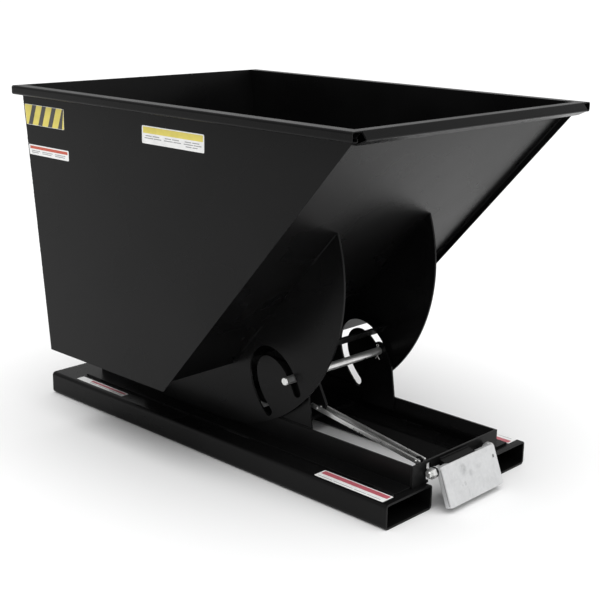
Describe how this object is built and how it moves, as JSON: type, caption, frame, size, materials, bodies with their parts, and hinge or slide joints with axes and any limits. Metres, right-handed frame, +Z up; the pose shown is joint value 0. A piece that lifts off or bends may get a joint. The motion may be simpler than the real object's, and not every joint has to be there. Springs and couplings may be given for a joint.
{
  "type": "self-dumping forklift hopper",
  "caption": "Open steel bin with a sloping front on two curved rocker plates, which roll forward along a base with fork pockets to tip out the load.",
  "frame": {"origin": "on the floor, on the centre plane, midway between the rear end of the fork tubes and the nose of the bumper", "axes": "+X forward to the pouring lip, +Y to the left, +Z up"},
  "size_m": [1.6052, 1.074, 1.1044],
  "materials": {
    "powder_black": "semi-gloss black powder coat over steel",
    "zinc_plate": "bright zinc plate",
    "galvanised": "hot-dip galvanised, matt light grey",
    "spring_steel": "oiled spring steel"
  },
  "bodies": {
    "base": {"fork_tube_left": "powder_black", "fork_tube_right": "powder_black", "side_rail_left": "powder_black", "side_rail_right": "powder_black", "front_plate": "powder_black", "rear_cross_member": "powder_black", "mid_cross_member": "powder_black", "rod_ear_left": "powder_black", "rod_ear_right": "powder_black", "pivot_rod": "zinc_plate", "cotter_pins": "zinc_plate", "latch_spring": "spring_steel", "hinge_sleeve": "powder_black"},
    "roll_carriage": {"roll_axis_disc": "powder_black"},
    "hopper": {"side_wall_left": "powder_black", "side_wall_right": "powder_black", "floor_and_slope": "powder_black", "rear_wall": "powder_black", "side_rim_left": "powder_black", "side_rim_right": "powder_black", "front_lip": "powder_black", "rocker_left": "powder_black", "rocker_right": "powder_black", "rocker_tie_bar": "powder_black", "catch_lug": "powder_black"},
    "bumper": {"bumper_tray": "galvanised", "bumper_crank": "powder_black", "hinge_bolt": "zinc_plate", "hinge_nut": "zinc_plate"},
    "release_link": {"link_bar_left": "zinc_plate", "link_bar_right": "zinc_plate", "link_front_pin": "zinc_plate", "link_rear_pin": "zinc_plate"},
    "latch": {"latch": "powder_black"}
  },
  "joints": [
    {"name": "carriage_roll", "type": "slide", "parent": "base", "child": "roll_carriage", "axis": [1, 0, 0], "range_m": [0, 0.6]},
    {"name": "hopper_tip", "type": "hinge", "parent": "roll_carriage", "child": "hopper", "pos_m": [-0.04998, 0, 0.5879], "axis": [0, 1, 0], "range_deg": [0, 68]},
    {"name": "bumper_swing", "type": "hinge", "parent": "base", "child": "bumper", "pos_m": [0.73792, 0, 0.113], "axis": [0, 1, 0], "range_deg": [-20, 20]},
    {"name": "link_swing", "type": "hinge", "parent": "bumper", "child": "release_link", "pos_m": [0.68442, -0.133, 0.1353], "axis": [0, 1, 0], "range_deg": [-23, 23]},
    {"name": "latch_turn", "type": "hinge", "parent": "base", "child": "latch", "pos_m": [0.25792, -0.133, 0.288], "axis": [0, 1, 0], "range_deg": [-3.5, 3.5]}
  ],
  "couplings": [
    {"joint": "carriage_roll", "follows": "hopper_tip", "m_per_rad": 0.505},
    {"joint": "link_swing", "follows": "bumper_swing", "ratio": -1.1214},
    {"joint": "latch_turn", "follows": "bumper_swing", "ratio": -0.1602}
  ]
}
